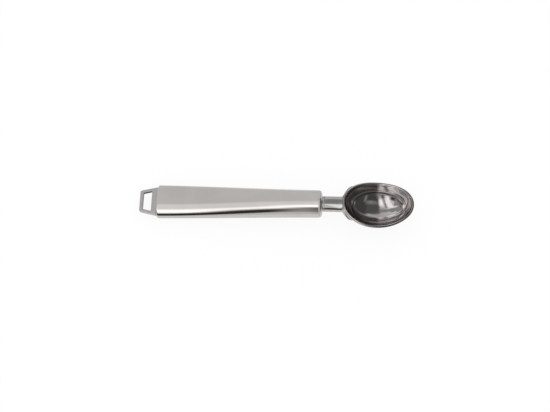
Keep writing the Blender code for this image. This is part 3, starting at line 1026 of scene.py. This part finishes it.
@dataclass
class Handle:
    """Drawn steel tube and the two stamped cups that close it."""

    layout: Layout
    cup_sheet: float = 0.0010
    cup_skirt: float = 0.0060
    cup_set_back: float = 0.0003
    body_steps: int = 110
    bore_stride: int = 8
    lip_steps: int = 12

    def rolled_edge(self, mouth: Mouth) -> tuple[Array, Array]:
        """Quarter circle of a rolled edge, outside and inside.

        At a turn t the outside lies lip (1 - sin t) from the end and lip (1 - cos t) deep; the
        inside is the same arc about the same centre, one wall smaller.

        Args:
            mouth: The end of the tube that has the edge.

        Returns:
            Rows of place and depth of the outside, then of the inside.
        """
        turn = math.pi / 2 * steps(self.lip_steps)
        outward = np.stack([np.sin(turn), np.cos(turn)], axis=-1)
        outside = mouth.lip * (1 - outward)
        inside = mouth.lip - (mouth.lip - self.layout.handle.wall) * outward
        return mouth.stations(outside), mouth.stations(inside)

    def tube(self) -> bpy.types.Object:
        """Tube with both edges rolled in, through one closed row of rings out and back.

        Returns:
            The tube.
        """
        form = self.layout.handle
        butt_out, butt_in = self.rolled_edge(form.butt)
        front_out, front_in = self.rolled_edge(form.front)
        body = mix(form.butt.lip, form.length - form.front.lip, steps(self.body_steps)[1:-1])
        bore = body[::-self.bore_stride]
        outside = np.stack([body, 0 * body], axis=-1)
        inside = np.stack([bore, 0 * bore + form.wall], axis=-1)
        stations = np.concatenate([butt_out[::-1], outside, front_out, front_in[::-1], inside, butt_in])
        rings = form.rings(stations[:, 0], stations[:, 1])
        return Skin("drawn_tube", self.layout.on_handle(rings), Ends.JOINED).build()

    def cup_rings(self, mouth: Mouth) -> Array:
        """Rings of a cup that closes a mouth: its face in the mouth, its skirt on the wall.

        Args:
            mouth: The end of the tube that it closes.

        Returns:
            Points as rings by points by 3, in the handle's own frame.
        """
        face, sheet = self.cup_set_back, self.cup_sheet
        in_mouth, in_tube = mouth.lip + FIT_GAP, self.layout.handle.wall + FIT_GAP
        behind, skirt_end = in_mouth, mouth.lip + self.cup_skirt
        stations = mouth.stations(np.array([
            [face, in_mouth],
            [face + sheet, in_mouth],
            [behind, in_tube],
            [skirt_end, in_tube],
            [skirt_end, in_tube + sheet],
            [behind + sheet / 2, in_tube + sheet],
            [face + sheet, in_mouth + sheet],
        ]))
        return self.layout.handle.rings(stations[:, 0], stations[:, 1])

    def front_cup(self) -> bpy.types.Object:
        """Cup in the round mouth, with a round hole for the tang.

        Returns:
            The cup.
        """
        rings = self.cup_rings(self.layout.handle.front)
        ends = rings[[-1, 0]]
        angle = np.arctan2(ends[..., 2], ends[..., 1])
        radius = self.layout.shank.tang_diameter / 2 + FIT_GAP
        hole = np.stack([ends[..., 0], radius * np.cos(angle), radius * np.sin(angle)], axis=-1)
        rings = np.concatenate([rings, hole])
        return Skin("front_cup", self.layout.on_handle(rings), Ends.JOINED).build()

    def end_cup(self) -> bpy.types.Object:
        """Cup in the flattened mouth, with a slot for the tail of the loop.

        Returns:
            The cup.
        """
        rings = self.cup_rings(self.layout.handle.butt)
        across, up = self.layout.tail_width / 2 + FIT_GAP, self.layout.loop_thickness / 2 + FIT_GAP
        outline = np.array([[across, -up], [across, up], [-across, up], [-across, -up]])
        angle = np.arctan2(rings[0, :, 2], rings[0, :, 1])
        edge = along_ray(outline, np.zeros(2), angle)
        slot = np.stack([np.column_stack([ring[:, 0], edge]) for ring in rings[[-1, 0]]])
        rings = np.concatenate([rings, slot])
        return Skin("end_cup", self.layout.on_handle(rings), Ends.JOINED).build()

    def make(self) -> None:
        """Build and dress the tube and both cups."""
        lean = self.layout.slope
        tube = Steel(
            "satin_tube", colour=(0.645, 0.615, 0.595), deep=(0.61, 0.58, 0.56),
            roughness=0.08, haze=0.025, grain_share=0.04, mark_share=0.05, lean=lean,
        )
        front = Steel("spun_cup", colour=(0.60, 0.59, 0.58), roughness=0.16, lean=lean)
        end = Steel("stamped_cup", colour=(0.60, 0.59, 0.58), roughness=0.18, lean=lean)
        install(self.tube(), "handle_tube", tube.material())
        install(self.front_cup(), "front_cap", front.material())
        install(self.end_cup(), "end_cap", end.material())


@dataclass
class HangingLoop:
    """Flat plate with a window, welded into the butt by its tail."""

    layout: Layout
    root_width: float = 0.0257
    end_width: float = 0.0188
    corner: float = 0.0018
    root_corner: float = 0.0006
    end_bar: float = 0.0030
    root_bar: float = 0.0048
    side_bar: float = 0.0028
    window_corner: float = 0.0008
    tail_length: float = 0.0120
    edge: float = 0.0004
    edge_angle: float = math.radians(60)
    edge_steps: int = 4
    burr: float = 0.0002
    bend_steps: int = 12
    side_steps: int = 360
    angle_digits: int = 5

    def outline(self, half: list[list[float]]) -> Array:
        """Closed outline that is the same on both sides of its axis.

        Args:
            half: Rows of x, y and radius of the corners on one side.

        Returns:
            The outline as rows of x and y.
        """
        corners = np.array(half)
        mirrored = corners[::-1] * (1.0, -1.0, 1.0)
        return rounded_outline(np.concatenate([corners, mirrored]), self.bend_steps)

    def outlines(self) -> tuple[Array, Array]:
        """Draw the plate.

        Returns:
            Outline of the plate with its tail, and outline of its window.
        """
        root, end, tail = -FIT_GAP, -self.layout.loop_reach, self.layout.tail_width / 2
        root_half, end_half = self.root_width / 2, self.end_width / 2
        plate = self.outline([
            [self.tail_length, tail, self.root_corner],
            [root, tail, self.root_corner],
            [root, root_half, self.root_corner],
            [end, end_half, self.corner],
        ])
        taper = (root_half - end_half) / (root - end)
        far, near = end + self.end_bar, root - self.root_bar
        far_half = end_half + taper * self.end_bar - self.side_bar
        near_half = root_half - taper * self.root_bar - self.side_bar
        window = self.outline([
            [near, near_half, self.window_corner],
            [far, far_half, self.window_corner],
        ])
        return plate, window

    def plate(self) -> bpy.types.Object:
        """Plate between its two outlines, both read along rays from the window's middle.

        Returns:
            The plate, with soft edges.
        """
        outer, inner = self.outlines()
        centre = np.array([inner[:, 0].mean(), 0.0])
        even = circle(self.side_steps) - math.pi
        corners = [np.arctan2(row[:, 1], row[:, 0] - centre[0]) for row in (outer, inner)]
        angles = np.unique(np.round(np.concatenate([even, *corners]), self.angle_digits))
        rims = [along_ray(row, centre, angles) for row in (outer, outer, inner, inner)]
        half = self.layout.loop_thickness / 2
        heights = (-half, half, half, -half)
        rings = np.stack([np.column_stack([rim, np.full(len(rim), z)]) for rim, z in zip(rims, heights)])
        blank = Skin("hanging_plate", self.layout.on_handle(rings), Ends.JOINED).build()
        soften = blank.modifiers.new("soft_edges", "BEVEL")
        soften.width = self.edge
        soften.segments = self.edge_steps
        soften.limit_method = "ANGLE"
        soften.angle_limit = self.edge_angle
        plate = baked(blank)
        self.mark_window(plate.data, inner, centre)
        return plate

    def mark_window(self, mesh: bpy.types.Mesh, window: Array, centre: Array) -> None:
        """Mark the vertices on the window's wall, which lie at most a burr outside its outline; the plate's
        finish paints shade on them.

        Args:
            mesh: Mesh of the finished plate.
            window: Outline of the window.
            centre: Middle of the window.
        """
        place = np.empty(len(mesh.vertices) * 3)
        mesh.vertices.foreach_get("co", place)
        arm = self.layout.off_handle(place.reshape(-1, 3))[:, :2] - centre
        edge = along_ray(window, centre, np.arctan2(arm[:, 1], arm[:, 0])) - centre
        on_wall = np.hypot(*arm.T) < np.hypot(*edge.T) + self.burr
        # Mask of the window's wall, where the plate's finish paints shade.
        write_mask(mesh, "painted_wall_shade", on_wall.astype(float))

    def make(self) -> None:
        """Build and dress the plate."""
        # The plate's finish paints shade on its window's wall.
        satin = PunchedSteelShadedWall(
            "stamped_plate", colour=(0.52, 0.505, 0.505), roughness=0.12, haze=0.05,
            grain=(0.0004, 0.012, 0.0004), grain_share=0.06, lean=self.layout.slope,
        )
        install(self.plate(), "hanging_loop", satin.material())


@dataclass
class Shank:
    """Forged shank: tang in the handle, neck, and a yoke hollowed where the bowl sits."""

    layout: Layout

    def seat(self) -> bpy.types.Object:
        """Tool that hollows the yoke: the bowl's outer form grown by the gap, with a lid.

        Returns:
            The tool.
        """
        bowl = self.layout.shank.bowl
        wall = bowl.side(FIT_GAP, 0.0)
        lid = wall[:1] + np.array([0.0, 0.0, bowl.wall])
        rings = np.concatenate([lid, wall]) + self.layout.rim_centre
        return Skin("yoke_seat", rings, Ends.CAPPED).build()

    def forging(self) -> bpy.types.Object:
        """Shank with its seat cut.

        Returns:
            The shank.
        """
        rings = self.layout.shank.rings(self.layout.slope) + self.layout.front
        blank = Skin("forged_shank", rings, Ends.CAPPED).build()
        seat = self.seat()
        cut = blank.modifiers.new("seat", "BOOLEAN")
        cut.operation = "DIFFERENCE"
        cut.solver = "EXACT"
        cut.object = seat
        shank = baked(blank)
        bpy.data.objects.remove(seat, do_unlink=True)
        return shank

    def make(self) -> None:
        """Build and dress the shank."""
        polish = Steel(
            "polished_forging", colour=(0.575, 0.56, 0.545), deep=(0.54, 0.525, 0.51),
            roughness=0.08, haze=0.03, grain=(0.008, 0.0006, 0.0006),
        )
        install(self.forging(), "shank", polish.material())


@dataclass
class Bowl:
    """Pressed bowl with a half-round lip, polished inside and out."""

    layout: Layout
    lip_steps: int = 16

    def pressing(self) -> bpy.types.Object:
        """Outer side from its pole up, half-round lip, and inner side down to its pole.

        At a turn t of the lip a point lies (1 - cos t) / 2 of the way from the outer to the
        inner edge, and half the wall times sin t above it.

        Returns:
            The bowl, which keeps 0 outside, that share on its lip and 1 inside as hollow.
        """
        form = self.layout.shank.bowl
        radius = form.wall / 2
        outer, inner = form.side(0.0, radius), form.side(-form.wall, radius)
        turn = math.pi * steps(self.lip_steps)[1:-1]
        share = (1 - np.cos(turn)) / 2
        lip = mix(outer[0], inner[0], share[:, None, None])
        lip[..., 2] += radius * np.sin(turn)[:, None]
        rings = np.concatenate([outer[::-1], lip, inner]) + self.layout.rim_centre
        pressing = Skin("polished_bowl", rings, Ends.CAPPED).build()
        rows = np.concatenate([np.zeros(len(outer)), share, np.ones(len(inner))])
        poles = (0.0, 1.0)
        write_mask(pressing.data, "hollow", np.concatenate([np.repeat(rows, rings.shape[1]), poles]))
        return pressing

    def make(self) -> None:
        """Build and dress the bowl."""
        centre = tuple(self.layout.rim_centre.tolist())
        # Painted reflection: colour and deep, near-black and near-white, are the dark and light rings
        # painted on the hollow wall; halfway between them is the steel's own grey.
        polish = RingedSteelPaintedBands(
            "mirror_bowl", colour=(0.32, 0.30, 0.295), deep=(0.97, 0.93, 0.925), roughness=0.02,
            haze=0.01, grain_share=0.02, grain_depth=15e-6, mark_share=0.05, centre=centre,
        )
        install(self.pressing(), "bowl", polish.material())


@dataclass(frozen=True)
class Card:
    """Softbox or flag in the tent over the scoop, with soft edges.

    Its place is given along the handle in metres and as a rise in degrees, from the near side
    (0) over the top (90) to the far side (180). Its edges fade over a distance on either side.
    """

    name: str
    light: float
    along: tuple[float, float]
    rise: tuple[float, float]
    fade_along: tuple[float, float] = (0.005, 0.005)
    fade_rise: tuple[float, float] = (6.0, 6.0)
    lean: float = 0.0

    def cover(self, along: Array, rise: Array) -> Array:
        """How much of the card covers points of the tent, from 0 to 1.

        It is the product of four smooth steps, one for each edge; the card leans by shifting
        along by lean times the rise above its middle.

        Args:
            along: Places along the handle.
            rise: Rises in degrees.

        Returns:
            The cover at each point.
        """
        shifted = along - self.lean * (rise - sum(self.rise) / 2)
        cover = np.ones_like(along)
        sides = ((shifted, self.along, self.fade_along), (rise, self.rise, self.fade_rise))
        for value, (low, high), (low_fade, high_fade) in sides:
            cover = cover * ease(value, low - low_fade, low + low_fade)
            cover = cover * (1.0 - ease(value, high - high_fade, high + high_fade))
        return cover


@dataclass
class Tent:
    """Ellipsoid round the scoop that carries the cards, with a flag in it; only gloss sees them.

    It lies along the handle's axis, so that a card with level edges shows as a level band. The
    flag stands across it over the neck, and so the bowl mirrors little of the handle's end.
    """

    layout: Layout
    half_length: float = 0.30
    radius: float = 0.05
    lowest: float = -30.0
    highest: float = 210.0
    along_steps: int = 320
    rise_steps: int = 200
    cloth: float = 0.71
    flag_at: float = 0.0405
    flag_hole: float = 0.015
    flag_steps: int = 40
    flag_cloth: float = 0.33
    flag_sheet: float = 0.0002

    def cards(self) -> list[Card]:
        """Softboxes and flags, each laid over the ones before it."""
        return [
            Card("handle_sky", 0.95, (-0.500, 0.400), (49, 87), (0.002, 0.010), (6, 9)),
            Card("handle_strip", 1.82, (-0.500, 0.061), (24, 51), (0.002, 0.020), (7, 9)),
            Card("handle_strip_end", 1.72, (-0.001, 0.096), (41, 61), (0.026, 0.010), (6, 7), 0.00002),
            Card("handle_shade", 0.02, (-0.500, 0.058), (9, 30), (0.002, 0.014), (4, 7)),
            Card("handle_shade_top", 0.04, (-0.059, 0.038), (16, 38), (0.027, 0.012), (5, 11), 0.00006),
            Card("handle_fill", 0.42, (0.010, 0.095), (9, 46), (0.020, 0.008), (4, 5), 0.00035),
            Card("bowl_sky", 0.70, (0.041, 0.400), (-300, 500), (0.004, 0.001), (1, 1)),
            Card("bowl_shade", 0.07, (0.086, 0.400), (-42, 161), (0.004, 0.004), (25, 4)),
            Card("far_fill", 0.61, (0.066, 0.094), (99, 158), (0.009, 0.019), (9, 10), 0.00008),
            Card("tip_strip", 1.45, (0.064, 0.086), (27, 80), (0.002, 0.004), (17, 14), 0.00006),
            Card("neck_strip", 1.30, (0.051, 0.074), (16, 106), (0.003, 0.006), (6, 6), -0.00031),
            Card("neck_shade", 0.02, (0.040, 0.057), (2, 33), (0.002, 0.003), (5, 4)),
            Card("strip_gap", 0.26, (0.070, 0.077), (15, 93), (0.002, 0.004), (3, 3), -0.00012),
            Card("tip_glow", 0.42, (0.095, 0.121), (53, 78), (0.020, 0.012), (9, 10), -0.00007),
            Card("tip_edge", 0.35, (0.120, 0.126), (14, 58), (0.004, 0.007), (3, 3), 0.00036),
            Card("near_shade", 0.08, (0.074, 0.088), (-18, 36), (0.006, 0.014), (17, 15), -0.00011),
            Card("far_sky", 0.59, (0.038, 0.121), (162, 224), (0.030, 0.021), (13, 22), -0.00012),
            Card("neck_glow", 1.14, (0.043, 0.065), (89, 133), (0.003, 0.009), (10, 10), 0.00003),
            Card("neck_glow_shade", 0.31, (0.039, 0.061), (96, 136), (0.002, 0.005), (5, 3), 0.00014),
            Card("near_dark", 0.03, (0.038, 0.058), (-9, 39), (0.024, 0.010), (3, 3), -0.00034),
            Card("tip_dark", 0.11, (0.086, 0.121), (69, 134), (0.003, 0.003), (24, 11)),
            Card("under_strips", 0.30, (0.056, 0.086), (99, 125), (0.005, 0.004), (13, 8), 0.00010),
            Card("far_glow", 0.52, (0.082, 0.112), (140, 162), (0.005, 0.006), (5, 5)),
        ]

    def flag_cards(self) -> list[Card]:
        """Cards on the bowl's side of the flag, placed by their distance from the axis."""
        return [Card("flag_glow", 1.00, (0.030, 0.060), (78, 96), (0.005, 0.005), (4, 5))]

    @staticmethod
    def light(cards: list[Card], cloth: float, along: Array, rise: Array) -> Array:
        """Light of a sheet: its cloth's grey, covered by one card after another.

        Args:
            cards: Cards in the order in which they are laid.
            cloth: Light of the bare cloth.
            along: Place of each point on the card's first axis.
            rise: Rise of each point in degrees.

        Returns:
            The light at each point.
        """
        light = np.full_like(along, cloth)
        for card in cards:
            light = mix(light, card.light, card.cover(along, rise))
        return light

    def spread(self, name: str, grid: Array, light: Array) -> None:
        """Put a sheet of the tent into the scene; its light is kept on its points.

        Args:
            name: Name of the sheet.
            grid: Points by rows and columns, in the tent's own frame.
            light: Light at each point.
        """
        layout = self.layout
        place = layout.on_handle(grid.reshape(-1, 3)) - layout.on_handle(np.zeros(3))
        place[:, 2] += layout.front[2] - layout.front[0] * math.tan(layout.slope)
        rows, columns = light.shape
        index = np.arange(rows * columns).reshape(rows, columns)
        quads = np.stack([index[:-1, :-1], index[1:, :-1], index[1:, 1:], index[:-1, 1:]], axis=-1)
        mesh = bpy.data.meshes.new(name)
        mesh.from_pydata(place.tolist(), [], quads.reshape(-1, 4).tolist())
        shade = mesh.color_attributes.new("light", "FLOAT_COLOR", "POINT")
        colours = np.repeat(light.reshape(-1, 1), 4, axis=1)
        shade.data.foreach_set("color", colours.ravel())
        sheet = link(name, mesh)
        recipe = Recipe(name + "_cloth")
        source = recipe.wire("ShaderNodeAttribute", {"attribute_name": "light"}, {}, "Color")
        shine = recipe.wire("ShaderNodeEmission", {}, {"Color": source, "Strength": 1.0})
        mesh.materials.append(recipe.finish(shine))
        sheet.visible_camera = False
        sheet.visible_diffuse = False
        sheet.visible_transmission = False
        sheet.visible_shadow = False

    @staticmethod
    def around_axis(along: Array, reach: Array, rise: Array) -> Array:
        """Points at places along the axis, q cos r to its near side and q sin r up.

        Args:
            along: Places along the axis.
            reach: Distances q from the axis.
            rise: Rises r in degrees.

        Returns:
            Points by rows and columns, in the tent's own frame.
        """
        angle = np.radians(rise)
        return np.stack([along, -reach * np.cos(angle), reach * np.sin(angle)], axis=-1)

    def hang(self) -> None:
        """Hang the ellipsoid, and the flag that stands across it over the neck.

        A point of the ellipsoid at a turn t lies half_length sin t along the axis and
        radius cos t from it. The flag is flat, from its hole to the ellipsoid.
        """
        rise = mix(self.lowest, self.highest, steps(self.rise_steps))[None]
        turn = math.pi * (steps(self.along_steps) - MIDDLE)[:, None]
        along = self.half_length * np.sin(turn) + 0 * rise
        grid = self.around_axis(along, self.radius * np.cos(turn), rise)
        self.spread("tent", grid, self.light(self.cards(), self.cloth, along, rise + 0 * turn))

        edge = self.radius * math.sqrt(1 - (self.flag_at / self.half_length) ** 2)
        reach = mix(self.flag_hole, edge, steps(self.flag_steps))[:, None]
        grid = self.around_axis(self.flag_at + 0 * reach * rise, reach, rise)
        front = self.light(self.flag_cards(), self.flag_cloth, reach + 0 * rise, rise + 0 * reach)
        self.spread("flag_front", grid, front)
        self.spread("flag_back", grid - (self.flag_sheet, 0.0, 0.0), self.cloth + 0 * front)


@dataclass
class Studio:
    """Pale floor, white surround, tent of cards, and the camera."""

    tent: Tent
    floor_size: float = 6.0
    floor_share: float = 0.15
    floor_gloss_share: float = 0.5
    floor_colour: float = 0.8
    surround: float = 1.0
    target: Point = (0.0, 0.0, 0.012)
    camera_distance: float = 1.0
    elevation: float = math.radians(69.2397)
    azimuth: float = math.radians(-2.1067)
    pixels_per_metre: float = 1170.3
    image: tuple[float, float] = (550.0, 412.0)
    seen_at: tuple[float, float] = (276.0817, 203.9094)
    sensor_width: float = 36.0
    clip: tuple[float, float] = (0.01, 20.0)

    def floor(self) -> None:
        """Wide pale floor; part of its light is its own, so it shows white with soft shadows."""
        half = self.floor_size / 2
        corners = [(-half, -half, 0), (half, -half, 0), (half, half, 0), (-half, half, 0)]
        mesh = bpy.data.meshes.new("floor")
        mesh.from_pydata(corners, [], [(0, 1, 2, 3)])
        floor = link("floor", mesh)
        recipe = Recipe("pale_floor")
        tone, own = self.floor_colour, 1 - self.floor_share
        strength = 1.0 + self.floor_share * (1 - tone) / own
        paint = recipe.wire("ShaderNodeBsdfDiffuse", {}, {"Color": (tone, tone, tone, 1.0)})
        glow = recipe.wire("ShaderNodeEmission", {}, {"Strength": strength})
        camera, glossy, through = (
            recipe.wire("ShaderNodeLightPath", {}, {}, name)
            for name in ("Is Camera Ray", "Is Glossy Ray", "Is Transmission Ray")
        )
        share = (camera + through) * own + glossy * (1 - self.floor_gloss_share)
        blend = recipe.wire("ShaderNodeMixShader", {}, {0: share, 1: paint, 2: glow})
        mesh.materials.append(recipe.finish(blend))

    def world(self) -> None:
        """White surround that lights the floor and shows behind it."""
        world = bpy.data.worlds.new("white_surround")
        world.use_nodes = True
        background = world.node_tree.nodes["Background"]
        background.inputs["Color"].default_value = (1.0, 1.0, 1.0, 1.0)
        background.inputs["Strength"].default_value = self.surround
        bpy.context.scene.world = world

    def camera(self) -> None:
        """Camera that looks down on the scoop, with its centre where the photograph has it.

        The target point shows at a given pixel: the camera is moved sideways and up by that
        pixel's distance from the middle, times its distance over its focal length.
        """
        sine, cosine = math.sin(self.azimuth), math.cos(self.azimuth)
        level = math.cos(self.elevation)
        forward = Vector((sine * level, cosine * level, -math.sin(self.elevation)))
        right = Vector((cosine, -sine, 0.0))
        up = right.cross(forward)
        focal = self.pixels_per_metre * self.camera_distance
        across = (self.seen_at[0] - self.image[0] / 2) / focal * self.camera_distance
        rise = -(self.seen_at[1] - self.image[1] / 2) / focal * self.camera_distance
        place = Vector(self.target) - self.camera_distance * forward - across * right - rise * up
        lens = bpy.data.cameras.new("photograph_view")
        lens.sensor_width = self.sensor_width
        lens.lens = focal / self.image[0] * self.sensor_width
        lens.clip_start, lens.clip_end = self.clip
        view = bpy.data.objects.new("photograph_view", lens)
        turn = Matrix((right, up, -forward)).transposed()
        view.matrix_world = Matrix.Translation(place) @ turn.to_4x4()
        bpy.context.scene.collection.objects.link(view)
        bpy.context.scene.camera = view

    def set_up(self) -> None:
        """Lay the floor, hang the tent and place the camera."""
        self.floor()
        self.world()
        self.camera()
        self.tent.hang()
        bpy.context.scene.view_settings.view_transform = "Standard"


def dress_bush() -> None:
    """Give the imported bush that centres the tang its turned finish."""
    turned = Steel(
        "turned_bush", colour=(0.50, 0.50, 0.50), deep=(0.44, 0.44, 0.44), roughness=0.35, haze=0.1,
        grain=(0.0003, 0.006, 0.006), grain_share=0.1,
    ).material()
    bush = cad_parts["tang_bush"]
    for slot in bush.material_slots:
        slot.material = turned
    log.info("tang_bush keeps its packed shape")


def main() -> None:
    """Build the pieces, then the table, the camera and the tent; each piece logs the size of its imported
    node.
    """
    logging.basicConfig(level=logging.INFO, format="%(message)s")
    layout = Layout(HandleForm(), ShankForm(BowlForm()))
    Bowl(layout).make()
    Shank(layout).make()
    Handle(layout).make()
    HangingLoop(layout).make()
    dress_bush()
    Studio(Tent(layout)).set_up()


if __name__ == "__main__":
    main()
